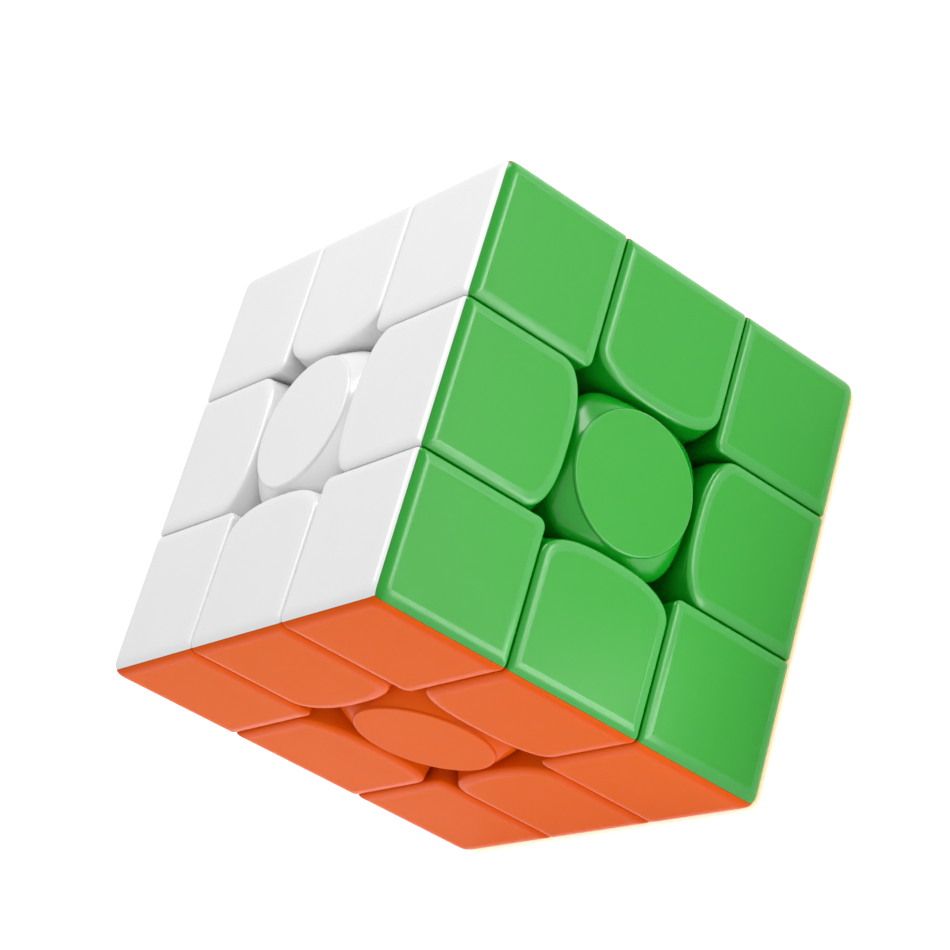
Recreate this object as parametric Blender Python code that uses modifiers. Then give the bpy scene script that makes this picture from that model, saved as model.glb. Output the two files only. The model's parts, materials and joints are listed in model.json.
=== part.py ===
"""Twisty puzzle cube, 56 mm across, as the set of pieces that it comes apart into.

The cube stands on its yellow face: the origin is the middle of that face, +Z
is up to the white face, the green face looks towards -Y and the orange face
towards -X. Every face turns about an axis through the middle of the cube, so
every piece has its origin there.

Inside, a six-armed core holds six screws. Each screw and its coil spring
holds a centre down. The rim of each centre covers the feet of the four edges
round it, and the edges cover the feet of the corners. Every surface between
two pieces is either a plane square to a turning axis or part of a sphere
about the middle of the cube, so that any face can turn.
"""

from math import cos, pi, sin, sqrt

import bmesh
import bpy
from mathutils import Matrix, Vector

MM = 0.001

# Outside of the cube
SIDE = 56.0 * MM
HALF = SIDE / 2
CUT = 9.5 * MM  # the turning planes between the outer blocks
GAP = 0.15 * MM  # half of the running gap between two pieces
ROUND = 1.2 * MM  # rounding of a corner block's rim
SEAM = 0.15 * MM  # half of the joint between two coloured shells

# Edge blocks: the end that faces a centre is a flat oval arch
ARCH_DEEP = 3.5 * MM  # depth below the face where the arch is at its squarest
ARCH_TOP = (8.85 * MM, 4.3 * MM, 2.4)  # half-width, length and exponent at the rim
ARCH_LOW = (8.85 * MM, 3.4 * MM, 3.2)  # the same, deep down
RIM_WIDE = 1.6 * MM  # an edge block's rim rolls off gently over this width
RIM_DEEP = 0.6 * MM  # and down to this depth
CUBE_RIM = 2.4 * MM  # the wider rolling rim along the cube's own edges
CUBE_POWER = 2.3
HOLLOW_CORNER = 0.35 * MM

# Walls of the hollow shells
WALL = 1.4 * MM
FACE_WALL = 1.7 * MM

# The spherical track between the feet and the blocks that hold them down
TRACK = 20.0 * MM
TRACK_GAP = 0.2 * MM
FOOT_IN = 14.2 * MM  # inner radius of the feet
FOOT_CUT = 5.6 * MM  # the turning planes between the feet
NECK_TOP = 21.2 * MM
CORNER_FOOT_AT = 12.0 * MM
CORNER_FOOT_R = 8.4 * MM
CORNER_BORE_R = 2.4 * MM

# Centres
CAP_DISC_R = 8.35 * MM
CAP_RIM = 0.3 * MM
CAP_SQUARE_R = 4.8 * MM  # corner radius of the cap's skirt
CAP_SHOULDER = 3.0 * MM  # depth over which the round disc becomes the square skirt
CAP_FOOT = 22.5 * MM  # height of the skirt's lower edge above the middle
RIM_TOP = 22.2 * MM  # top of the base's rim
TUBE_R = 5.2 * MM
TUBE_TOP = 24.4 * MM
BORE_R = 3.45 * MM
FLOOR_LOW = 10.5 * MM
FLOOR_TOP = 13.2 * MM
SHANK_HOLE_R = 1.75 * MM

# Screw, spring and core
HEAD_R = 2.9 * MM
HEAD_LOW = 20.3 * MM
HEAD_TOP = 22.4 * MM
SHANK_R = 1.45 * MM
SHANK_END = 3.6 * MM
SLOT_LONG = 3.6 * MM
SLOT_WIDE = 0.9 * MM
SLOT_DEEP = 1.2 * MM
COIL_R = 2.45 * MM
WIRE_R = 0.32 * MM
COIL_LOW = 13.85 * MM
COIL_TOP = 19.65 * MM
COIL_TURNS = 4
ARM_R = 3.2 * MM
ARM_END = 10.2 * MM
HUB_R = 5.6 * MM
PILOT_R = 1.65 * MM
PILOT_END = 3.2 * MM

FACES = {
    "white": (0, 0, 1),
    "yellow": (0, 0, -1),
    "green": (0, -1, 0),
    "blue": (0, 1, 0),
    "orange": (-1, 0, 0),
    "red": (1, 0, 0),
}

PLASTIC = {
    "white": (0.85, 0.85, 0.85),
    "yellow": (0.90, 0.72, 0.02),
    "green": (0.06, 0.45, 0.06),
    "blue": (0.02, 0.13, 0.55),
    "orange": (0.80, 0.14, 0.02),
    "red": (0.60, 0.02, 0.03),
    "core": (0.10, 0.10, 0.11),
}

for old in list(bpy.data.objects):
    bpy.data.objects.remove(old, do_unlink=True)

PARTS = bpy.data.collections.new("puzzle_cube")
WORKSHOP = bpy.data.collections.new("cutters")
for group in (PARTS, WORKSHOP):
    bpy.context.scene.collection.children.link(group)


def material(name, colour, roughness, metallic=0.0):
    made = bpy.data.materials.new(name)
    made.use_nodes = True
    shader = made.node_tree.nodes["Principled BSDF"]
    shader.inputs["Base Color"].default_value = (*colour, 1.0)
    shader.inputs["Roughness"].default_value = roughness
    shader.inputs["Metallic"].default_value = metallic
    made.diffuse_color = (*colour, 1.0)
    return made


MATERIALS = {name: material(name + "_plastic", rgb, 0.42) for name, rgb in PLASTIC.items()}
MATERIALS["steel"] = material("screw_steel", (0.55, 0.55, 0.57), 0.3, 1.0)
MATERIALS["spring"] = material("spring_steel", (0.45, 0.45, 0.48), 0.35, 1.0)


# ---------------------------------------------------------------- tools


def helper(name, mesh):
    """An object in the workshop, which is never part of the cube."""
    made = bpy.data.objects.new(name, mesh)
    made.hide_render = True
    made.display_type = "WIRE"
    WORKSHOP.objects.link(made)
    return made


def from_bmesh(name, bm):
    bmesh.ops.recalc_face_normals(bm, faces=bm.faces)
    mesh = bpy.data.meshes.new(name)
    bm.to_mesh(mesh)
    bm.free()
    return helper(name, mesh)


def ball(name, radius, around=48):
    bm = bmesh.new()
    bmesh.ops.create_uvsphere(bm, u_segments=around, v_segments=around // 2, radius=radius)
    return from_bmesh(name, bm)


def block(name, low, high):
    """A box between two opposite corners."""
    bm = bmesh.new()
    bmesh.ops.create_cube(bm, size=1.0)
    size = Vector(high) - Vector(low)
    middle = (Vector(high) + Vector(low)) / 2
    bmesh.ops.transform(
        bm, verts=bm.verts, matrix=Matrix.Translation(middle) @ Matrix.Diagonal((*size, 1))
    )
    return from_bmesh(name, bm)


def rod(name, radius, start, end, sides=16):
    """A cylinder from one point to another."""
    start, end = Vector(start), Vector(end)
    run = end - start
    bm = bmesh.new()
    bmesh.ops.create_cone(
        bm, cap_ends=True, segments=sides, radius1=radius, radius2=radius, depth=run.length
    )
    turn = Vector((0, 0, 1)).rotation_difference(run).to_matrix().to_4x4()
    bmesh.ops.transform(
        bm, verts=bm.verts, matrix=Matrix.Translation((start + end) / 2) @ turn
    )
    return from_bmesh(name, bm)


def half_space(name, normal, offset):
    """A large box that fills the side of a plane which its normal points to."""
    reach = 3 * SIDE
    normal = Vector(normal).normalized()
    bm = bmesh.new()
    bmesh.ops.create_cube(bm, size=reach)
    turn = Vector((0, 0, 1)).rotation_difference(normal).to_matrix().to_4x4()
    shift = Matrix.Translation(normal * (offset + reach / 2))
    bmesh.ops.transform(bm, verts=bm.verts, matrix=shift @ turn)
    return from_bmesh(name, bm)


def turned(name, profile, steps):
    """A solid of revolution about Z. The profile is (radius, height) pairs, down its outer side."""
    bm = bmesh.new()
    points = [bm.verts.new((radius, 0, height)) for radius, height in profile]
    for first, second in zip(points, points[1:]):
        bm.edges.new((first, second))
    mesh = bpy.data.meshes.new(name)
    bm.to_mesh(mesh)
    bm.free()
    made = helper(name, mesh)
    spin = made.modifiers.new("turn", "SCREW")
    spin.steps = spin.render_steps = steps
    spin.use_merge_vertices = True
    spin.merge_threshold = 0.00001
    return made


def combine(target, tool, operation):
    step = target.modifiers.new(tool.name, "BOOLEAN")
    step.operation = operation
    step.solver = "EXACT"
    step.object = tool
    return target


def cut(target, tool):
    return combine(target, tool, "DIFFERENCE")


def keep(target, tool):
    return combine(target, tool, "INTERSECT")


def join(target, tool):
    return combine(target, tool, "UNION")


def outline(width, near, far, height, ends, rims, steps):
    """One level of a lofted block, anticlockwise seen from above.

    The block is width wide either side of X = 0 and runs from Y = near to
    Y = far. Its two corners at near and its two at far are quarter ovals,
    given as (half-width, length, exponent).
    """
    level = []
    for side, at, way, (wide, long, power), count in (
        (1, near, -1, ends, steps[0]),
        (1, far, 1, rims, steps[1]),
        (-1, far, 1, rims, steps[1]),
        (-1, near, -1, ends, steps[0]),
    ):
        span = [pi / 2 * k / count for k in range(count + 1)]
        if side * way < 0:
            span.reverse()
        for angle in span:
            x = max(cos(angle), 0.0) ** (2 / power)
            y = max(sin(angle), 0.0) ** (2 / power)
            level.append(
                (side * (width - wide + wide * x), at + way * (long * y - long), height)
            )
    return level


def loft(name, levels):
    """A closed solid through outlines of equal length, from the lowest to the highest."""
    bm = bmesh.new()
    rows = [[bm.verts.new(point) for point in level] for level in levels]
    count = len(rows[0])
    for low, high in zip(rows, rows[1:]):
        for k in range(count):
            n = (k + 1) % count
            bm.faces.new((low[k], low[n], high[n], high[k]))
    bm.faces.new(list(reversed(rows[0])))
    bm.faces.new(rows[-1])
    return from_bmesh(name, bm)


def finished(template, name, colours, sharp=35):
    """The template's shape as one mesh, with each face of a many-coloured piece given its colour."""
    bpy.context.view_layer.update()
    graph = bpy.context.evaluated_depsgraph_get()
    mesh = bpy.data.meshes.new_from_object(template.evaluated_get(graph))
    mesh.name = name
    mesh.materials.clear()
    for colour in colours:
        mesh.materials.append(MATERIALS[colour])
    bm = bmesh.new()
    bm.from_mesh(mesh)
    bmesh.ops.remove_doubles(bm, verts=bm.verts, dist=0.000001)
    for face in bm.faces:
        spread = face.calc_center_median()
        largest = max(range(3), key=lambda axis: spread[axis])
        face.material_index = largest if len(colours) == 3 else 0
    bm.to_mesh(mesh)
    bm.free()
    mesh.shade_smooth()
    mesh.set_sharp_from_angle(angle=sharp * pi / 180)
    return mesh


def place(name, mesh, rotation, colours):
    """A copy of a piece. Its origin is the middle of the cube, which lies on every turning axis."""
    made = bpy.data.objects.new(name, mesh)
    PARTS.objects.link(made)
    for slot, colour in zip(made.material_slots, colours):
        slot.link = "OBJECT"
        slot.material = MATERIALS[colour]
    made.matrix_world = Matrix.Translation((0, 0, HALF)) @ rotation.to_4x4()
    return made


def facing(up, along):
    """The rotation that turns +Z to the face up, and +Y to the face along."""
    up, along = Vector(up), Vector(along)
    return Matrix((along.cross(up), along, up)).transposed()


# ---------------------------------------------------------------- edges


def rim_insets(depth):
    """How far in the surface lies at a depth below the face: at a groove, and at the cube's edge."""
    share = 1 - min(depth / RIM_DEEP, 1.0)
    groove = RIM_WIDE * (1 - sqrt(1 - share * share))
    share = 1 - min(depth / CUBE_RIM, 1.0)
    return groove, CUBE_RIM * (1 - (1 - share**CUBE_POWER) ** (1 / CUBE_POWER))


def arch(depth):
    """The oval end at a depth below the face."""
    share = min(depth / ARCH_DEEP, 1.0)
    return tuple(a + (b - a) * share for a, b in zip(ARCH_TOP, ARCH_LOW))


def edge_levels():
    made = []
    for depth in (HALF - CUT - GAP, ARCH_DEEP, RIM_DEEP, 0.22 * RIM_DEEP, 0.0):
        wide, long, power = arch(depth)
        groove, far = rim_insets(depth)
        left = 1 - 0.9 * groove / RIM_WIDE
        made.append(
            outline(
                CUT - GAP - groove,
                CUT + GAP + groove,
                HALF - far,
                HALF - depth,
                (wide - groove, long - groove, power),
                (RIM_WIDE * left, RIM_DEEP * left, 2.0),
                (3, 1),
            )
        )
    return made


def edge_half():
    """The shell of an edge that shows on the +Z face, with its half of the foot. Its twin shows on +Y."""
    shell = loft("edge_block", edge_levels())
    cut(shell, ball("edge_track", TRACK + TRACK_GAP, 24))
    inner = CUT - GAP - WALL
    hollow = loft(
        "edge_hollow",
        [
            outline(
                inner,
                CUT + GAP + WALL,
                HALF + SIDE,
                height,
                (3.2 * MM, 2.2 * MM, 2.0),
                (HOLLOW_CORNER, HOLLOW_CORNER, 2.0),
                (1, 1),
            )
            for height in (CUT, HALF - FACE_WALL)
        ],
    )
    cut(hollow, ball("edge_floor", TRACK + TRACK_GAP + WALL, 16))
    cut(shell, hollow)
    reach = 24 * MM
    foot = block(
        "edge_foot",
        (-FOOT_CUT + GAP, FOOT_CUT + GAP, FOOT_CUT + GAP),
        (FOOT_CUT - GAP, reach, reach),
    )
    keep(foot, ball("foot_top", TRACK - TRACK_GAP, 24))
    neck = block(
        "edge_neck",
        (-FOOT_CUT + GAP + 0.05 * MM, CUT + GAP + 0.05 * MM, CUT + GAP + 0.05 * MM),
        (FOOT_CUT - GAP - 0.05 * MM, reach, reach),
    )
    keep(neck, ball("neck_top", NECK_TOP, 16))
    join(foot, neck)
    cut(foot, ball("foot_inside", FOOT_IN, 16))
    join(shell, foot)
    cut(shell, half_space("edge_seam", (0, 1, -1), -SEAM))
    return shell


# ---------------------------------------------------------------- corners


def corner():
    """A corner at +X, +Y, +Z: three coloured shells locked round one foot."""
    low = CUT + GAP
    shell = block("corner_block", (low, low, low), (HALF, HALF, HALF))
    rounding = shell.modifiers.new("rounding", "BEVEL")
    rounding.width = ROUND
    rounding.segments = 2
    rounding.limit_method = "ANGLE"
    cut(shell, ball("corner_track", TRACK + TRACK_GAP, 24))
    foot = block("corner_foot", (FOOT_CUT + GAP,) * 3, (24 * MM,) * 3)
    keep(foot, ball("corner_foot_top", TRACK - TRACK_GAP, 24))
    trim = ball("corner_foot_round", CORNER_FOOT_R, 16)
    trim.data.transform(Matrix.Translation((CORNER_FOOT_AT,) * 3))
    keep(foot, trim)
    neck = block("corner_neck", (low + 0.05 * MM,) * 3, (24 * MM,) * 3)
    keep(neck, ball("corner_neck_top", NECK_TOP, 16))
    join(foot, neck)
    cut(foot, ball("corner_foot_inside", FOOT_IN, 16))
    join(shell, foot)
    hollow = block("corner_hollow", (low + WALL,) * 3, (HALF - FACE_WALL,) * 3)
    cut(hollow, ball("corner_floor", TRACK + TRACK_GAP + WALL, 16))
    cut(shell, hollow)
    cut(shell, rod("corner_bore", CORNER_BORE_R, (6 * MM,) * 3, (15 * MM,) * 3, 8))
    return shell


# ---------------------------------------------------------------- centres


def square_level(inset, height, corner_radius, steps=3):
    """A level of the centre: a square with round corners, or a circle where they meet."""
    return outline(
        CUT - GAP - inset,
        -(CUT - GAP - inset),
        CUT - GAP - inset,
        height,
        (corner_radius, corner_radius, 2.0),
        (corner_radius, corner_radius, 2.0),
        (steps, steps),
    )


def centre_cap():
    """The lid of a centre: a round disc whose sides widen to a square skirt."""
    edge = CUT - GAP
    levels = [square_level(0.0, CAP_FOOT, CAP_SQUARE_R)]
    disc = CAP_DISC_R + CAP_RIM
    for share in (1.0, 0.5, 0.0):
        depth = CAP_RIM + (CAP_SHOULDER - CAP_RIM) * share
        bulge = sin(share * pi / 2)
        inset = (edge - disc) * (1 - bulge)
        radius = CAP_SQUARE_R + (disc - 0.01 * MM - CAP_SQUARE_R) * (1 - bulge)
        levels.append(square_level(inset, HALF - depth, radius))
    levels.append(square_level(edge - CAP_DISC_R, HALF, CAP_DISC_R - 0.01 * MM))
    lid = loft("cap_block", levels)
    hollow = loft(
        "cap_hollow",
        [
            square_level(WALL, CAP_FOOT - MM, CAP_SQUARE_R - WALL, 2),
            square_level(WALL, HALF - CAP_SHOULDER, CAP_SQUARE_R - WALL, 2),
            square_level(WALL + 1.0 * MM, HALF - FACE_WALL, CAP_SQUARE_R, 2),
        ],
    )
    return cut(lid, hollow)


def centre_base():
    """The rim that holds four edges down, on a tube that takes the spring and the screw's head."""
    rim = loft(
        "rim_block",
        [
            square_level(0.0, height, CAP_SQUARE_R, 2)
            for height in (CUT, RIM_TOP)
        ],
    )
    cut(rim, ball("rim_track", TRACK + TRACK_GAP, 24))
    tube = turned(
        "tube",
        [
            (0, TUBE_TOP),
            (TUBE_R, TUBE_TOP),
            (TUBE_R, FLOOR_LOW + 1.2 * MM),
            (TUBE_R - 0.9 * MM, FLOOR_LOW),
            (0, FLOOR_LOW),
        ],
        12,
    )
    join(rim, tube)
    cut(rim, rod("spring_bore", BORE_R, (0, 0, FLOOR_TOP), (0, 0, TUBE_TOP + MM), 12))
    cut(rim, rod("shank_hole", SHANK_HOLE_R, (0, 0, FLOOR_LOW - MM), (0, 0, FLOOR_TOP + MM), 8))
    return rim


def screw():
    """A pan-head screw with a cross recess, its shank in the core's arm."""
    body = turned(
        "screw_blank",
        [
            (0, HEAD_TOP),
            (HEAD_R - 0.8 * MM, HEAD_TOP),
            (HEAD_R, HEAD_TOP - 0.7 * MM),
            (HEAD_R, HEAD_LOW),
            (SHANK_R, HEAD_LOW),
            (SHANK_R, SHANK_END + 1.0 * MM),
            (0.5 * MM, SHANK_END),
            (0, SHANK_END),
        ],
        12,
    )
    for name, x, y in (
        ("recess_a", SLOT_LONG / 2, SLOT_WIDE / 2),
        ("recess_b", SLOT_WIDE / 2 - 0.03 * MM, SLOT_LONG / 2),
    ):
        cut(body, block(name, (-x, -y, HEAD_TOP - SLOT_DEEP), (x, y, HEAD_TOP + MM)))
    return body


def spring():
    """A coil of round wire between the centre's floor and the screw's head."""
    count = COIL_TURNS * 8
    curve = bpy.data.curves.new("coil", "CURVE")
    curve.dimensions = "3D"
    curve.bevel_depth = WIRE_R
    curve.bevel_resolution = 1
    curve.use_fill_caps = True
    path = curve.splines.new("POLY")
    path.points.add(count)
    for k, point in enumerate(path.points):
        angle = 2 * pi * COIL_TURNS * k / count
        height = COIL_LOW + (COIL_TOP - COIL_LOW) * k / count
        point.co = (COIL_R * cos(angle), COIL_R * sin(angle), height, 1)
    wire = bpy.data.objects.new("coil", curve)
    WORKSHOP.objects.link(wire)
    bpy.context.view_layer.update()
    graph = bpy.context.evaluated_depsgraph_get()
    mesh = bpy.data.meshes.new_from_object(wire.evaluated_get(graph))
    bpy.data.objects.remove(wire, do_unlink=True)
    bm = bmesh.new()
    bm.from_mesh(mesh)
    bmesh.ops.remove_doubles(bm, verts=bm.verts, dist=0.00001)
    return from_bmesh("coil_mesh", bm)


def core():
    """Six arms on a hub, each with a pilot hole for its screw."""
    hub = ball("hub", HUB_R, 12)
    for name, way in (("x", (1, 0, 0)), ("y", (0, 1, 0)), ("z", (0, 0, 1))):
        way = Vector(way)
        join(hub, rod("arm_" + name, ARM_R, -ARM_END * way, ARM_END * way, 12))
    for name, way in FACES.items():
        way = Vector(way)
        cut(hub, rod("pilot_" + name, PILOT_R, PILOT_END * way, (ARM_END + MM) * way, 8))
    return hub


# ---------------------------------------------------------------- assembly


def perpendicular(a, b):
    return Vector(FACES[a]).dot(Vector(FACES[b])) == 0


NAMES = list(FACES)

half_mesh = finished(edge_half(), "edge_half", ["white"])
corner_mesh = finished(corner(), "corner", ["red", "blue", "white"])
cap_mesh = finished(centre_cap(), "centre_cap", ["white"])
base_mesh = finished(centre_base(), "centre_base", ["white"])
screw_mesh = finished(screw(), "screw", ["steel"])
spring_mesh = finished(spring(), "spring", ["spring"])
core_mesh = finished(core(), "core", ["core"])

place("core", core_mesh, Matrix.Identity(3), ["core"])

for index, face in enumerate(NAMES):
    way = FACES[face]
    side = FACES[NAMES[(index + 2) % 6]]
    turn = facing(way, side)
    place("centre_cap_" + face, cap_mesh, turn, [face])
    place("centre_base_" + face, base_mesh, turn, [face])
    place("screw_" + face, screw_mesh, turn, ["steel"])
    place("spring_" + face, spring_mesh, turn, ["spring"])

for i, first in enumerate(NAMES):
    for second in NAMES[i + 1 :]:
        if not perpendicular(first, second):
            continue
        for shown, other in ((first, second), (second, first)):
            place(
                f"edge_{first}_{second}_shell_{shown}",
                half_mesh,
                facing(FACES[shown], FACES[other]),
                [shown],
            )

for up in ("white", "yellow"):
    for front in ("green", "blue"):
        for flank in ("orange", "red"):
            x, y, z = FACES[flank][0], FACES[front][1], FACES[up][2]
            if x * y * z > 0:
                turn = Matrix.Diagonal((x, y, z))
                colours = [flank, front, up]
            else:
                # the piece is the same in a mirror, so a quarter turn and a swap of sides fit it
                turn = Matrix(((0, x, 0), (y, 0, 0), (0, 0, z)))
                colours = [front, flank, up]
            place(f"corner_{up}_{front}_{flank}", corner_mesh, turn, colours)

for spare in list(WORKSHOP.objects):
    bpy.data.objects.remove(spare, do_unlink=True)
bpy.data.collections.remove(WORKSHOP)
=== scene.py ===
"""Looks of the twisty puzzle cube: its coloured shells, feet, bases, screws, springs and core."""

import json
from math import cos, pi, radians, sin

import bmesh
import bpy
from mathutils import Matrix, Vector

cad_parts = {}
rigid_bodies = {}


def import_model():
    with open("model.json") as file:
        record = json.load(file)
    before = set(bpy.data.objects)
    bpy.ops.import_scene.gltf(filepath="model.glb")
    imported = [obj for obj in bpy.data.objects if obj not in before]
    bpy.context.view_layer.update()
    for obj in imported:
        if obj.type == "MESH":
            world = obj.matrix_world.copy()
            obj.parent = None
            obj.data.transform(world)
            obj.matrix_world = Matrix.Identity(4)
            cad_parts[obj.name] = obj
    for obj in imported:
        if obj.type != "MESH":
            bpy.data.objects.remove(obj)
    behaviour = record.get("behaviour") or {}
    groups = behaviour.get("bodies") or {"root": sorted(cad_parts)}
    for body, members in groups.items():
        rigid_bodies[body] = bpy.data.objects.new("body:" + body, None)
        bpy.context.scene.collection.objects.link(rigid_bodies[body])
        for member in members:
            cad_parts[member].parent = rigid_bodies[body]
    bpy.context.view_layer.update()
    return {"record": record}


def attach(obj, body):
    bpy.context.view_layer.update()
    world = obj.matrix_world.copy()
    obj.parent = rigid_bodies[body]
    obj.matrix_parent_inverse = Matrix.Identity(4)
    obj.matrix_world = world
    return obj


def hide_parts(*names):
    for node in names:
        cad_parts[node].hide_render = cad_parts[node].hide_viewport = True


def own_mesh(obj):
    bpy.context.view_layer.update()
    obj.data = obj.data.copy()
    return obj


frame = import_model()

MM = 0.001
SIDE = 56.0 * MM
HALF = SIDE / 2
CUT = 9.5 * MM
GAP = 0.1 * MM
SEAM = 0.02 * MM
MIDDLE = Vector((0, 0, HALF))

ARCH_DEEP = 3.5 * MM
ARCH_TOP = (9.1 * MM, 4.3 * MM, 2.4)
ARCH_LOW = (9.1 * MM, 3.4 * MM, 3.2)
RIM_WIDE = 1.45 * MM
RIM_DEEP = 0.5 * MM
CUBE_RIM = 2.3 * MM
CUBE_POWER = 3.0
NOTCH_R = 0.5 * MM
INNER_R = 1.2 * MM
WALL = 1.4 * MM
FACE_WALL = 1.7 * MM

TRACK = 20.0 * MM
TRACK_GAP = 0.2 * MM
FOOT_IN = 14.2 * MM
FOOT_CUT = 5.6 * MM
NECK_TOP = 21.2 * MM
CORNER_FOOT_AT = 12.0 * MM
CORNER_FOOT_R = 8.4 * MM
CORNER_BORE_R = 2.4 * MM

CAP_DISC_R = 8.35 * MM
CAP_RIM = 0.3 * MM
CAP_SQUARE_R = 4.8 * MM
CAP_SHOULDER = 3.0 * MM
CAP_FOOT = 22.5 * MM
RIM_TOP = 22.2 * MM
TUBE_R = 5.2 * MM
TUBE_TOP = 24.4 * MM
BORE_R = 3.45 * MM
FLOOR_LOW = 10.5 * MM
FLOOR_TOP = 13.2 * MM
SHANK_HOLE_R = 1.75 * MM

HEAD_R = 2.9 * MM
HEAD_LOW = 20.3 * MM
HEAD_TOP = 22.4 * MM
SHANK_R = 1.45 * MM
SHANK_END = 3.6 * MM
SLOT_LONG = 3.6 * MM
SLOT_WIDE = 0.9 * MM
SLOT_DEEP = 1.2 * MM
COIL_R = 2.45 * MM
WIRE_R = 0.32 * MM
COIL_LOW = 13.85 * MM
COIL_TOP = 19.65 * MM
COIL_TURNS = 4
ARM_R = 3.2 * MM
ARM_END = 10.2 * MM
HUB_R = 5.6 * MM
PILOT_R = 1.65 * MM
PILOT_END = 3.2 * MM

FACES = {
    "white": (0, 0, 1),
    "yellow": (0, 0, -1),
    "green": (0, -1, 0),
    "blue": (0, 1, 0),
    "orange": (-1, 0, 0),
    "red": (1, 0, 0),
}
NAMES = list(FACES)

# The plastic of each colour, in linear light, with how much it shines: first where it is polished,
# and then on the frosted flats.
PLASTIC = {
    "white": ((0.765, 0.765, 0.765), 0.85, (0.755, 0.755, 0.755), 0.45),
    "yellow": ((0.82, 0.52, 0.006), 0.35, (0.82, 0.54, 0.008), 0.10),
    "green": ((0.003, 0.254, 0.008), 0.64, (0.006, 0.254, 0.004), 0.37),
    "blue": ((0.005, 0.088, 0.43), 0.45, (0.008, 0.095, 0.44), 0.15),
    "orange": ((0.645, 0.080, 0.001), 0.04, (0.635, 0.095, 0.002), 0.02),
    "red": ((0.54, 0.010, 0.012), 0.15, (0.54, 0.012, 0.014), 0.06),
}

# ---------------------------------------------------------------- meshes

WORK = bpy.data.collections.new("work")
bpy.context.scene.collection.children.link(WORK)


def helper(name, mesh):
    made = bpy.data.objects.new(name, mesh)
    WORK.objects.link(made)
    return made


def from_bmesh(name, bm):
    bmesh.ops.recalc_face_normals(bm, faces=bm.faces)
    mesh = bpy.data.meshes.new(name)
    bm.to_mesh(mesh)
    bm.free()
    return helper(name, mesh)


def ball(name, radius, around=64):
    bm = bmesh.new()
    bmesh.ops.create_uvsphere(bm, u_segments=around, v_segments=around // 2, radius=radius)
    return from_bmesh(name, bm)


def block(name, low, high, soft=0.0, segments=3):
    """A box between two opposite corners, with its edges rounded by soft."""
    bm = bmesh.new()
    bmesh.ops.create_cube(bm, size=1.0)
    size = Vector(high) - Vector(low)
    middle = (Vector(high) + Vector(low)) / 2
    bmesh.ops.transform(
        bm, verts=bm.verts, matrix=Matrix.Translation(middle) @ Matrix.Diagonal((*size, 1))
    )
    if soft:
        bmesh.ops.bevel(
            bm,
            geom=list(bm.edges) + list(bm.verts),
            offset=soft,
            offset_type="OFFSET",
            segments=segments,
            profile=0.5,
            affect="EDGES",
        )
    return from_bmesh(name, bm)


def rod(name, radius, start, end, sides=32):
    start, end = Vector(start), Vector(end)
    run = end - start
    bm = bmesh.new()
    bmesh.ops.create_cone(
        bm, cap_ends=True, segments=sides, radius1=radius, radius2=radius, depth=run.length
    )
    turn = Vector((0, 0, 1)).rotation_difference(run).to_matrix().to_4x4()
    bmesh.ops.transform(bm, verts=bm.verts, matrix=Matrix.Translation((start + end) / 2) @ turn)
    return from_bmesh(name, bm)


def half_space(name, normal, offset):
    reach = 3 * SIDE
    normal = Vector(normal).normalized()
    bm = bmesh.new()
    bmesh.ops.create_cube(bm, size=reach)
    turn = Vector((0, 0, 1)).rotation_difference(normal).to_matrix().to_4x4()
    shift = Matrix.Translation(normal * (offset + reach / 2))
    bmesh.ops.transform(bm, verts=bm.verts, matrix=shift @ turn)
    return from_bmesh(name, bm)


def lathe(name, profile, steps=48):
    """A solid of revolution about Z. The profile is (radius, height) pairs from axis to axis."""
    bm = bmesh.new()
    rings = []
    for radius, height in profile:
        if radius < 1e-7:
            rings.append([bm.verts.new((0, 0, height))])
        else:
            rings.append(
                [
                    bm.verts.new(
                        (radius * cos(2 * pi * k / steps), radius * sin(2 * pi * k / steps), height)
                    )
                    for k in range(steps)
                ]
            )
    for first, second in zip(rings, rings[1:]):
        for k in range(steps):
            n = (k + 1) % steps
            corners = [first[k % len(first)], first[n % len(first)]]
            corners += [second[n % len(second)], second[k % len(second)]]
            found = []
            for corner in corners:
                if corner not in found:
                    found.append(corner)
            if len(found) > 2:
                bm.faces.new(found)
    return from_bmesh(name, bm)


def outline(width, near, far, height, ends, rims, steps):
    """One level of a lofted block, with oval corners at Y = near and Y = far."""
    level = []
    for side, at, way, (wide, long, power), count in (
        (1, near, -1, ends, steps[0]),
        (1, far, 1, rims, steps[1]),
        (-1, far, 1, rims, steps[1]),
        (-1, near, -1, ends, steps[0]),
    ):
        span = [pi / 2 * k / count for k in range(count + 1)]
        if side * way < 0:
            span.reverse()
        for angle in span:
            x = max(cos(angle), 0.0) ** (2 / power)
            y = max(sin(angle), 0.0) ** (2 / power)
            level.append(
                (side * (width - wide + wide * x), at + way * (long * y - long), height)
            )
    return level


def square_ring(low, high, height, corners, count=8):
    """One level of a square block. The corners are (size, power), from (high, low) round."""
    level = []
    for (x, y), (size, power), start in zip(
        ((high, low), (high, high), (low, high), (low, low)), corners, (-90, 0, 90, 180)
    ):
        middle_x = x - size if x == high else x + size
        middle_y = y - size if y == high else y + size
        for k in range(count + 1):
            angle = radians(start + 90 * k / count)
            dx, dy = cos(angle), sin(angle)
            level.append(
                (
                    middle_x + size * (1 if dx > 0 else -1) * abs(dx) ** (2 / power),
                    middle_y + size * (1 if dy > 0 else -1) * abs(dy) ** (2 / power),
                    height,
                )
            )
    return level


def loft(name, levels):
    bm = bmesh.new()
    rows = [[bm.verts.new(point) for point in level] for level in levels]
    count = len(rows[0])
    for low, high in zip(rows, rows[1:]):
        for k in range(count):
            n = (k + 1) % count
            bm.faces.new((low[k], low[n], high[n], high[k]))
    bm.faces.new(list(reversed(rows[0])))
    bm.faces.new(rows[-1])
    return from_bmesh(name, bm)


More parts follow.
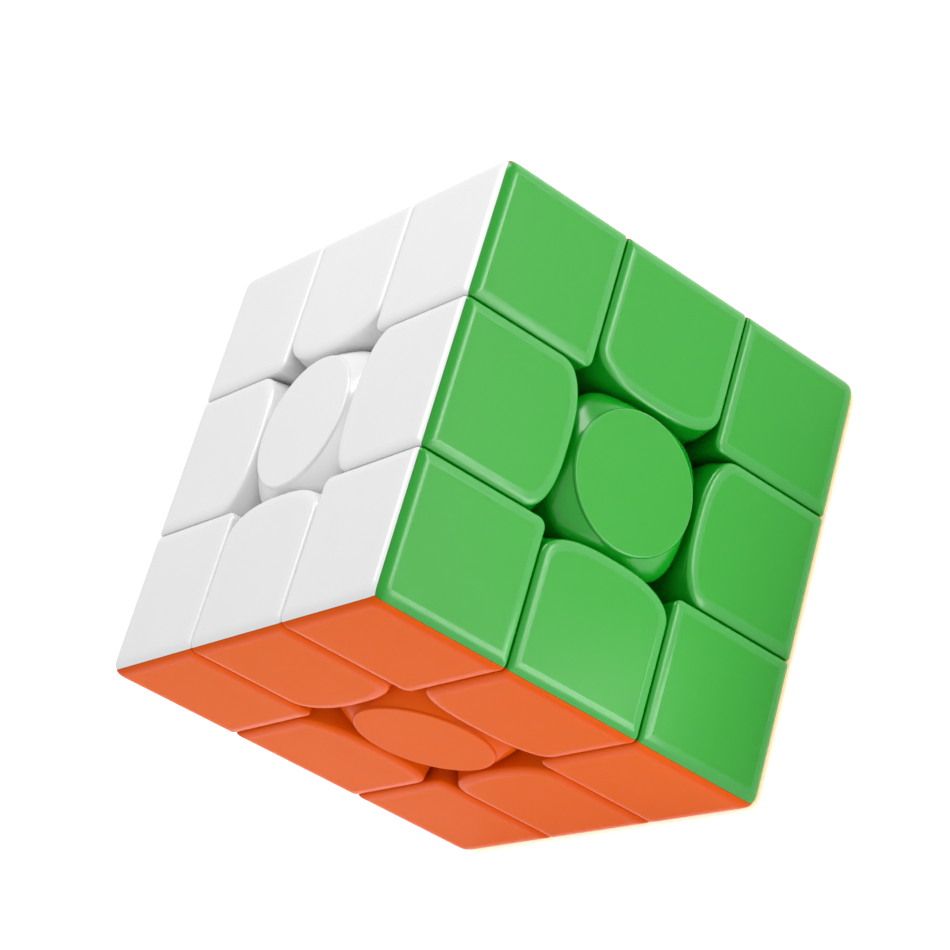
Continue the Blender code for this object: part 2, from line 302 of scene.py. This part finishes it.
def combine(target, tool, operation):
    step = target.modifiers.new(tool.name, "BOOLEAN")
    step.operation = operation
    step.solver = "EXACT"
    step.object = tool
    return target


def cut(target, tool):
    return combine(target, tool, "DIFFERENCE")


def keep(target, tool):
    return combine(target, tool, "INTERSECT")


def join(target, tool):
    return combine(target, tool, "UNION")


def template(source, name, sharp=35, flats=True):
    """The evaluated shape as a mesh, with flat faces kept flat in its shading."""
    bpy.context.view_layer.update()
    graph = bpy.context.evaluated_depsgraph_get()
    mesh = bpy.data.meshes.new_from_object(source.evaluated_get(graph))
    mesh.name = name
    bm = bmesh.new()
    bm.from_mesh(mesh)
    bmesh.ops.remove_doubles(bm, verts=bm.verts, dist=0.0000008)
    bmesh.ops.dissolve_degenerate(bm, edges=bm.edges, dist=0.0000004)
    bm.to_mesh(mesh)
    bm.free()
    mesh.shade_smooth()
    mesh.set_sharp_from_angle(angle=radians(sharp))
    carrier = helper(name + "_weighted", mesh)
    weigh = carrier.modifiers.new("weigh", "WEIGHTED_NORMAL")
    weigh.keep_sharp = True
    weigh.weight = 80
    bpy.context.view_layer.update()
    graph = bpy.context.evaluated_depsgraph_get()
    made = bpy.data.meshes.new_from_object(carrier.evaluated_get(graph))
    made.name = name
    made.materials.clear()
    if flats:
        for polygon in made.polygons:
            level = polygon.normal.z > 0.9997 and polygon.center.z > HALF - 0.06 * MM
            polygon.material_index = 1 if level else 0
    return made


def rim_insets(depth):
    """How far in the surface lies at a depth below the face: at a groove, and at the cube's edge."""
    share = 1 - min(depth / RIM_DEEP, 1.0)
    groove = RIM_WIDE * (1 - max(1 - share * share, 0.0) ** 0.5)
    share = 1 - min(depth / CUBE_RIM, 1.0)
    return groove, CUBE_RIM * (1 - max(1 - share**CUBE_POWER, 0.0) ** (1 / CUBE_POWER))


def rim_depths(count=10):
    """Depths of the levels of a rim, from its foot to the face."""
    return [RIM_DEEP * (1 - k / count) ** 3 for k in range(count + 1)]


def smooth(share):
    share = min(max(share, 0.0), 1.0)
    return share * share * (3 - 2 * share)


def mix(first, second, share):
    return tuple(a + (b - a) * share for a, b in zip(first, second))


def edge_shell():
    """The shell of an edge that shows on +Z, with its half of the foot."""
    depths = [HALF - CUT - GAP, ARCH_DEEP]
    depths += [ARCH_DEEP + (RIM_DEEP - ARCH_DEEP) * k / 6 for k in range(1, 6)]
    made = []
    for depth in depths + rim_depths():
        wide, long, power = mix(ARCH_TOP, ARCH_LOW, smooth(depth / ARCH_DEEP))
        groove, far = rim_insets(depth)
        made.append(
            outline(
                CUT - GAP - groove,
                CUT + GAP + groove,
                HALF - far,
                HALF - depth,
                (wide - groove, long - groove, power),
                (NOTCH_R * (1 - 0.7 * groove / RIM_WIDE),) * 2 + (2.0,),
                (20, 6),
            )
        )
    shell = loft("edge_block", made)
    cut(shell, ball("edge_track", TRACK + TRACK_GAP))
    inner = CUT - GAP - WALL
    hollow = loft(
        "edge_hollow",
        [
            outline(
                inner,
                CUT + GAP + WALL,
                HALF + SIDE,
                height,
                (3.2 * MM, 2.2 * MM, 2.0),
                (0.35 * MM, 0.35 * MM, 2.0),
                (6, 1),
            )
            for height in (CUT, HALF - FACE_WALL)
        ],
    )
    cut(hollow, ball("edge_floor", TRACK + TRACK_GAP + WALL, 48))
    cut(shell, hollow)
    reach = 24 * MM
    foot = block(
        "edge_foot",
        (-FOOT_CUT + GAP, FOOT_CUT + GAP, FOOT_CUT + GAP),
        (FOOT_CUT - GAP, reach, reach),
        0.5 * MM,
    )
    keep(foot, ball("foot_top", TRACK - TRACK_GAP))
    neck = block(
        "edge_neck",
        (-FOOT_CUT + GAP + 0.05 * MM, CUT + GAP + 0.05 * MM, CUT + GAP + 0.05 * MM),
        (FOOT_CUT - GAP - 0.05 * MM, reach, reach),
        0.4 * MM,
    )
    keep(neck, ball("neck_top", NECK_TOP, 48))
    join(foot, neck)
    cut(foot, ball("foot_inside", FOOT_IN))
    join(shell, foot)
    cut(shell, half_space("edge_seam", (0, 1, -1), -SEAM))
    return shell


def corner_shell():
    """The shell of the corner at +X, +Y, +Z that shows on +Z, with its third of the foot."""
    low = CUT + GAP
    made = []
    for depth in [HALF - low, CUBE_RIM, 1.6 * MM, 1.0 * MM] + rim_depths():
        groove, far = rim_insets(depth)
        left = 1 - 0.8 * groove / RIM_WIDE
        notch = (NOTCH_R * left, 2.0)
        made.append(
            square_ring(
                low + groove,
                HALF - far,
                HALF - depth,
                (notch, (CUBE_RIM - far + 0.01 * MM, CUBE_POWER), notch, (INNER_R * left, 2.0)),
            )
        )
    shell = loft("corner_block", made)
    cut(shell, ball("corner_track", TRACK + TRACK_GAP))
    foot = block("corner_foot", (FOOT_CUT + GAP,) * 3, (24 * MM,) * 3, 0.5 * MM)
    keep(foot, ball("corner_foot_top", TRACK - TRACK_GAP))
    trim = ball("corner_foot_round", CORNER_FOOT_R, 48)
    trim.data.transform(Matrix.Translation((CORNER_FOOT_AT,) * 3))
    keep(foot, trim)
    neck = block("corner_neck", (low + 0.05 * MM,) * 3, (24 * MM,) * 3, 0.4 * MM)
    keep(neck, ball("corner_neck_top", NECK_TOP, 48))
    join(foot, neck)
    cut(foot, ball("corner_foot_inside", FOOT_IN))
    join(shell, foot)
    hollow = block("corner_hollow", (low + WALL,) * 3, (HALF - FACE_WALL,) * 3, 0.6 * MM)
    cut(hollow, ball("corner_floor", TRACK + TRACK_GAP + WALL, 48))
    cut(shell, hollow)
    cut(shell, rod("corner_bore", CORNER_BORE_R, (6 * MM,) * 3, (15 * MM,) * 3, 32))
    cut(shell, half_space("corner_seam_x", (1, 0, -1), -SEAM))
    cut(shell, half_space("corner_seam_y", (0, 1, -1), -SEAM))
    return shell


def square_level(inset, height, corner_radius, steps=14):
    return outline(
        CUT - GAP - inset,
        -(CUT - GAP - inset),
        CUT - GAP - inset,
        height,
        (corner_radius, corner_radius, 2.0),
        (corner_radius, corner_radius, 2.0),
        (steps, steps),
    )


def centre_cap():
    edge = CUT - GAP
    levels = [
        square_level(0.25 * MM, CAP_FOOT, CAP_SQUARE_R - 0.25 * MM),
        square_level(0.0, CAP_FOOT + 0.25 * MM, CAP_SQUARE_R),
    ]
    disc = CAP_DISC_R + CAP_RIM
    for k in range(11):
        share = 1 - k / 10
        depth = CAP_RIM + (CAP_SHOULDER - CAP_RIM) * share
        bulge = sin(share * pi / 2)
        inset = (edge - disc) * (1 - bulge)
        radius = CAP_SQUARE_R + (disc - 0.01 * MM - CAP_SQUARE_R) * (1 - bulge)
        levels.append(square_level(inset, HALF - depth, radius))
    for k in range(1, 5):
        angle = pi / 2 * k / 4
        radius = CAP_DISC_R + CAP_RIM * cos(angle)
        height = HALF - CAP_RIM + CAP_RIM * sin(angle)
        levels.append(square_level(edge - radius, height, radius - 0.01 * MM))
    lid = loft("cap_block", levels)
    hollow = loft(
        "cap_hollow",
        [
            square_level(WALL, CAP_FOOT - MM, CAP_SQUARE_R - WALL),
            square_level(WALL, HALF - CAP_SHOULDER, CAP_SQUARE_R - WALL),
            square_level(WALL + 1.0 * MM, HALF - FACE_WALL, CAP_SQUARE_R),
        ],
    )
    return cut(lid, hollow)


def centre_base():
    rim = loft(
        "rim_block",
        [square_level(0.0, height, CAP_SQUARE_R) for height in (CUT, RIM_TOP - 0.25 * MM)]
        + [square_level(0.25 * MM, RIM_TOP, CAP_SQUARE_R - 0.25 * MM)],
    )
    cut(rim, ball("rim_track", TRACK + TRACK_GAP))
    tube = lathe(
        "tube",
        [
            (0, TUBE_TOP),
            (TUBE_R - 0.3 * MM, TUBE_TOP),
            (TUBE_R, TUBE_TOP - 0.3 * MM),
            (TUBE_R, FLOOR_LOW + 1.2 * MM),
            (TUBE_R - 0.9 * MM, FLOOR_LOW),
            (0, FLOOR_LOW),
        ],
        64,
    )
    join(rim, tube)
    cut(rim, rod("spring_bore", BORE_R, (0, 0, FLOOR_TOP), (0, 0, TUBE_TOP + MM), 48))
    cut(
        rim, rod("shank_hole", SHANK_HOLE_R, (0, 0, FLOOR_LOW - MM), (0, 0, FLOOR_TOP + MM), 32)
    )
    return rim


def screw():
    profile = [(0, HEAD_TOP)]
    for k in range(6):
        angle = pi / 2 * (1 - k / 5)
        profile.append(
            (HEAD_R - 0.8 * MM + 0.8 * MM * cos(angle), HEAD_TOP - 0.7 * MM + 0.7 * MM * sin(angle))
        )
    profile += [(HEAD_R, HEAD_LOW + 0.15 * MM), (HEAD_R - 0.15 * MM, HEAD_LOW), (SHANK_R, HEAD_LOW)]
    height = ARM_END - 1.0 * MM
    profile.append((SHANK_R, height))
    while height > SHANK_END + 1.5 * MM:
        profile += [(SHANK_R - 0.22 * MM, height - 0.2 * MM), (SHANK_R, height - 0.4 * MM)]
        height -= 0.6 * MM
        profile.append((SHANK_R, height + 0.1 * MM))
    profile += [(SHANK_R - 0.2 * MM, SHANK_END + 0.8 * MM), (0.4 * MM, SHANK_END), (0, SHANK_END)]
    body = lathe("screw_blank", profile, 36)
    for name, x, y in (
        ("recess_a", SLOT_LONG / 2, SLOT_WIDE / 2),
        ("recess_b", SLOT_WIDE / 2 - 0.03 * MM, SLOT_LONG / 2),
    ):
        cut(body, block(name, (-x, -y, HEAD_TOP - SLOT_DEEP), (x, y, HEAD_TOP + MM)))
    return body


def spring():
    """A coil of round wire whose end turns lie flat."""
    around, sides = 20, 8
    count = COIL_TURNS * around
    bm = bmesh.new()
    rings = []
    for k in range(count + 1):
        turn = COIL_TURNS * k / count
        share = min(max((turn - 0.35) / (COIL_TURNS - 0.7), 0.0), 1.0)
        height = COIL_LOW + (COIL_TOP - COIL_LOW) * share
        angle = 2 * pi * turn
        at = Vector((COIL_R * cos(angle), COIL_R * sin(angle), height))
        out = Vector((cos(angle), sin(angle), 0))
        rings.append(
            [
                bm.verts.new(
                    at
                    + out * (WIRE_R * cos(2 * pi * n / sides))
                    + Vector((0, 0, WIRE_R * sin(2 * pi * n / sides)))
                )
                for n in range(sides)
            ]
        )
    for first, second in zip(rings, rings[1:]):
        for n in range(sides):
            m = (n + 1) % sides
            bm.faces.new((first[n], first[m], second[m], second[n]))
    bm.faces.new(list(reversed(rings[0])))
    bm.faces.new(rings[-1])
    return from_bmesh("coil", bm)


def core():
    hub = ball("hub", HUB_R, 40)
    for name, way in (("x", (1, 0, 0)), ("y", (0, 1, 0)), ("z", (0, 0, 1))):
        way = Vector(way)
        join(hub, rod("arm_" + name, ARM_R, -ARM_END * way, ARM_END * way, 40))
    for name, way in FACES.items():
        way = Vector(way)
        cut(hub, rod("pilot_" + name, PILOT_R, PILOT_END * way, (ARM_END + MM) * way, 24))
    return hub


# ---------------------------------------------------------------- materials


def nodes_of(name):
    made = bpy.data.materials.new(name)
    made.use_nodes = True
    tree = made.node_tree
    tree.nodes.clear()
    out = tree.nodes.new("ShaderNodeOutputMaterial")
    shader = tree.nodes.new("ShaderNodeBsdfPrincipled")
    tree.links.new(shader.outputs["BSDF"], out.inputs["Surface"])
    where = tree.nodes.new("ShaderNodeTexCoord")
    return made, tree, shader, where.outputs["Object"]


def noise(tree, where, scale, detail=2.0, rough=0.5):
    made = tree.nodes.new("ShaderNodeTexNoise")
    made.inputs["Scale"].default_value = scale
    made.inputs["Detail"].default_value = detail
    made.inputs["Roughness"].default_value = rough
    tree.links.new(where, made.inputs["Vector"])
    return made.outputs["Fac"]


def spread(tree, value, low, high, from_low=0.3, from_high=0.7):
    made = tree.nodes.new("ShaderNodeMapRange")
    made.inputs["From Min"].default_value = from_low
    made.inputs["From Max"].default_value = from_high
    made.inputs["To Min"].default_value = low
    made.inputs["To Max"].default_value = high
    tree.links.new(value, made.inputs["Value"])
    return made.outputs["Result"]


def blend_colour(tree, share, first, second, kind="MIX"):
    made = tree.nodes.new("ShaderNodeMix")
    made.data_type = "RGBA"
    made.blend_type = kind
    for socket, value in (("A", first), ("B", second)):
        slot = [s for s in made.inputs if s.name == socket and s.type == "RGBA"][0]
        if isinstance(value, tuple):
            slot.default_value = (*value, 1.0)
        else:
            tree.links.new(value, slot)
    factor = [s for s in made.inputs if s.name == "Factor" and s.type == "VALUE"][0]
    if isinstance(share, float):
        factor.default_value = share
    else:
        tree.links.new(share, factor)
    return [s for s in made.outputs if s.type == "RGBA"][0]


def bump(tree, height, strength, distance, before=None):
    made = tree.nodes.new("ShaderNodeBump")
    made.inputs["Strength"].default_value = strength
    made.inputs["Distance"].default_value = distance
    tree.links.new(height, made.inputs["Height"])
    if before is not None:
        tree.links.new(before, made.inputs["Normal"])
    return made.outputs["Normal"]


def abs_plastic(name, tone, rough, shine):
    """Moulded ABS in one tone, with faint flow marks and a fine moulded grain."""
    made, tree, shader, where = nodes_of(name)
    slow = noise(tree, where, 45.0, 2.0, 0.5)
    cloud = noise(tree, where, 420.0, 3.0, 0.6)
    grain = noise(tree, where, 5200.0, 2.0, 0.6)
    marks = blend_colour(
        tree,
        spread(tree, slow, 0.0, 1.0),
        tuple(0.986 * part for part in tone),
        tuple(min(1.012 * part, 1.0) for part in tone),
    )
    speck = blend_colour(
        tree, spread(tree, cloud, 0.0, 1.0), (0.990, 0.990, 0.990), (1.0, 1.0, 1.0)
    )
    tree.links.new(
        blend_colour(tree, 1.0, marks, speck, "MULTIPLY"), shader.inputs["Base Color"]
    )
    tree.links.new(spread(tree, cloud, *rough), shader.inputs["Roughness"])
    fine = bump(tree, grain, 0.10, 0.00002)
    tree.links.new(bump(tree, slow, 0.12, 0.0002, fine), shader.inputs["Normal"])
    shader.inputs["Specular IOR Level"].default_value = shine
    return made


def core_plastic():
    made, tree, shader, where = nodes_of("core_nylon")
    cloud = noise(tree, where, 300.0, 4.0, 0.6)
    grain = noise(tree, where, 4000.0, 2.0, 0.6)
    tone = blend_colour(
        tree, spread(tree, cloud, 0.0, 1.0), (0.045, 0.045, 0.050), (0.075, 0.075, 0.080)
    )
    tree.links.new(tone, shader.inputs["Base Color"])
    tree.links.new(spread(tree, cloud, 0.42, 0.58), shader.inputs["Roughness"])
    tree.links.new(bump(tree, grain, 0.25, 0.00003), shader.inputs["Normal"])
    return made


def steel(name, low, high, rough, stretch):
    made, tree, shader, where = nodes_of(name)
    drawn = tree.nodes.new("ShaderNodeMapping")
    drawn.inputs["Scale"].default_value = stretch
    tree.links.new(where, drawn.inputs["Vector"])
    lines = noise(tree, drawn.outputs["Vector"], 900.0, 3.0, 0.6)
    cloud = noise(tree, where, 500.0, 3.0, 0.6)
    tone = blend_colour(tree, spread(tree, cloud, 0.0, 1.0), low, high)
    tree.links.new(tone, shader.inputs["Base Color"])
    tree.links.new(spread(tree, lines, rough - 0.06, rough + 0.10), shader.inputs["Roughness"])
    tree.links.new(bump(tree, lines, 0.2, 0.00003), shader.inputs["Normal"])
    shader.inputs["Metallic"].default_value = 1.0
    return made


SHELL = {
    name: (
        abs_plastic(name + "_polished", body, (0.19, 0.24), gloss),
        abs_plastic(name + "_frosted", flat, (0.34, 0.40), shine),
    )
    for name, (body, gloss, flat, shine) in PLASTIC.items()
}
NYLON = core_plastic()
SCREW_STEEL = steel("zinc_steel", (0.52, 0.52, 0.54), (0.66, 0.66, 0.67), 0.28, (1.0, 1.0, 1.0))
WIRE_STEEL = steel("wire_steel", (0.36, 0.36, 0.38), (0.52, 0.52, 0.54), 0.30, (1.0, 1.0, 4.0))

# ---------------------------------------------------------------- assembly


def facing(up, along):
    """The rotation that turns +Z to the face up, and +Y to the face along."""
    up, along = Vector(up), Vector(along)
    return Matrix((along.cross(up), along, up)).transposed()


def piece(name, mesh, rotation, finish, body, slot, *stands_for):
    """One visible piece with a mesh of its own, in its place at rest."""
    own = mesh.copy()
    own.name = name
    own.transform(Matrix.Translation(MIDDLE) @ rotation.to_4x4())
    for material in finish:
        own.materials.append(material)
    made = bpy.data.objects.new(name, own)
    bpy.context.scene.collection.objects.link(made)
    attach(made, body)
    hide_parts(*stands_for)
    return made


BODY = {node: body for body, nodes in frame["record"]["behaviour"]["bodies"].items() for node in nodes}

edge_mesh = template(edge_shell(), "edge_shell")
corner_mesh = template(corner_shell(), "corner_shell")
cap_mesh = template(centre_cap(), "cap")
base_mesh = template(centre_base(), "base", flats=False)
screw_mesh = template(screw(), "screw", flats=False)
spring_mesh = template(spring(), "spring", sharp=60, flats=False)
core_mesh = template(core(), "core_mesh", flats=False)

piece("core_visual", core_mesh, Matrix.Identity(3), (NYLON,), "core", "core", "core")

for index, face in enumerate(NAMES):
    way = FACES[face]
    turn = facing(way, FACES[NAMES[(index + 2) % 6]])
    for kind, mesh, finish, slot in (
        ("centre_cap", cap_mesh, SHELL[face], face),
        ("centre_base", base_mesh, SHELL[face][:1], face),
        ("screw", screw_mesh, (SCREW_STEEL,), "screw_steel"),
        ("spring", spring_mesh, (WIRE_STEEL,), "spring_steel"),
    ):
        node = f"{kind}_{face}"
        made = piece(node + "_visual", mesh, turn, finish, BODY[node], slot, node)
        if kind == "spring":
            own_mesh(made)

for i, first in enumerate(NAMES):
    for second in NAMES[i + 1 :]:
        if Vector(FACES[first]).dot(Vector(FACES[second])):
            continue
        for shown, other in ((first, second), (second, first)):
            node = f"edge_{first}_{second}_shell_{shown}"
            piece(
                node + "_visual",
                edge_mesh,
                facing(FACES[shown], FACES[other]),
                SHELL[shown],
                BODY[node],
                shown,
                node,
            )

for up in ("white", "yellow"):
    for front in ("green", "blue"):
        for flank in ("orange", "red"):
            node = f"corner_{up}_{front}_{flank}"
            trio = (up, front, flank)
            for shown in trio:
                others = [Vector(FACES[name]) for name in trio if name != shown]
                top = Vector(FACES[shown])
                turn = Matrix((others[0], others[1], top)).transposed()
                if turn.determinant() < 0:
                    turn = Matrix((others[1], others[0], top)).transposed()
                piece(f"{node}_shell_{shown}", corner_mesh, turn, SHELL[shown], BODY[node], shown, node)

for spare in list(WORK.objects):
    bpy.data.objects.remove(spare, do_unlink=True)
bpy.data.collections.remove(WORK)

# ---------------------------------------------------------------- floor, light and camera

floor_mesh = bpy.data.meshes.new("floor")
bm = bmesh.new()
bmesh.ops.create_grid(bm, x_segments=2, y_segments=2, size=6.0)
bm.to_mesh(floor_mesh)
bm.free()
floor = bpy.data.objects.new("floor", floor_mesh)
floor.location = (0, 0, -0.00005)
bpy.context.scene.collection.objects.link(floor)
floor_finish, tree, shader, where = nodes_of("pale_floor")
tone = blend_colour(tree, noise(tree, where, 6.0, 3.0), (0.90, 0.90, 0.90), (0.93, 0.93, 0.93))
tree.links.new(tone, shader.inputs["Base Color"])
shader.inputs["Roughness"].default_value = 0.9
shader.inputs["Specular IOR Level"].default_value = 0.1
floor_mesh.materials.append(floor_finish)

world = bpy.data.worlds.new("studio")
bpy.context.scene.world = world
world.use_nodes = True
world.node_tree.nodes["Background"].inputs["Color"].default_value = (1, 1, 1, 1)
world.node_tree.nodes["Background"].inputs["Strength"].default_value = 0.75

camera_data = bpy.data.cameras.new("camera")
camera_data.sensor_width = 36.0
camera_data.lens = 36.0 * 2744.85 / 950
camera_data.clip_start, camera_data.clip_end = 0.01, 20.0
camera = bpy.data.objects.new("camera", camera_data)
bpy.context.scene.collection.objects.link(camera)
RIGHT = Vector((0.260817, -0.592652, -0.762062))
DOWN = Vector((-0.870852, 0.196246, -0.450670))
AHEAD = Vector((0.416642, 0.781186, -0.464928))
camera.matrix_world = Matrix.Translation(
    Vector((-0.132125, -0.257884, 0.157137)) + MIDDLE
) @ Matrix((RIGHT, -DOWN, -AHEAD)).transposed().to_4x4()
bpy.context.scene.camera = camera


def softbox(name, at, target, size, power):
    """A soft rectangular light at a point, which looks at a target."""
    at, target = Vector(at), Vector(target)
    data = bpy.data.lights.new(name, "AREA")
    data.shape = "RECTANGLE"
    data.size, data.size_y = size
    data.energy = power
    made = bpy.data.objects.new(name, data)
    made.location = at
    made.rotation_mode = "QUATERNION"
    made.rotation_quaternion = (at - target).to_track_quat("Z", "Y")
    made.visible_camera = False
    bpy.context.scene.collection.objects.link(made)
    return made


softbox("key", (0.20, -0.09, 0.17), (0, -0.01, 0.04), (0.12, 0.12), 0.24)
softbox("overhead", (0.19, 0.04, 0.40), (0, 0, 0.05), (0.16, 0.16), 0.30)
softbox("side", (-0.42, 0.10, 0.10), MIDDLE, (0.30, 0.20), 0.2)
softbox("front", (0.064, -0.150, 0.011), (0.0, -0.028, 0.020), (0.08, 0.014), 0.030)
softbox("low_left", (-0.017, -0.080, 0.002), (-0.017, -0.080, 0.1), (0.026, 0.06), 0.018)
softbox("low_far", (0.008, -0.118, 0.002), (0.008, -0.118, 0.1), (0.06, 0.03), 0.022)

# The floor has a light of its own, so that it stays plain and pale round the cube.
only_floor = bpy.data.collections.new("only_floor")
only_floor.objects.link(floor)
for name, at, size, power in (
    ("floor_wash", (0, 0, 1.5), 2.0, 12.0),
    ("floor_near", (-0.035, -0.015, 0.22), 0.22, 0.42),
):
    wash = softbox(name, at, (at[0], at[1], 0), (size, size), power)
    wash.data.use_shadow = False
    wash.light_linking.receiver_collection = only_floor

scene = bpy.context.scene
scene.view_settings.view_transform = "Standard"
scene.view_settings.look = "None"
scene.view_settings.exposure = 0.0
scene.view_settings.gamma = 1.0
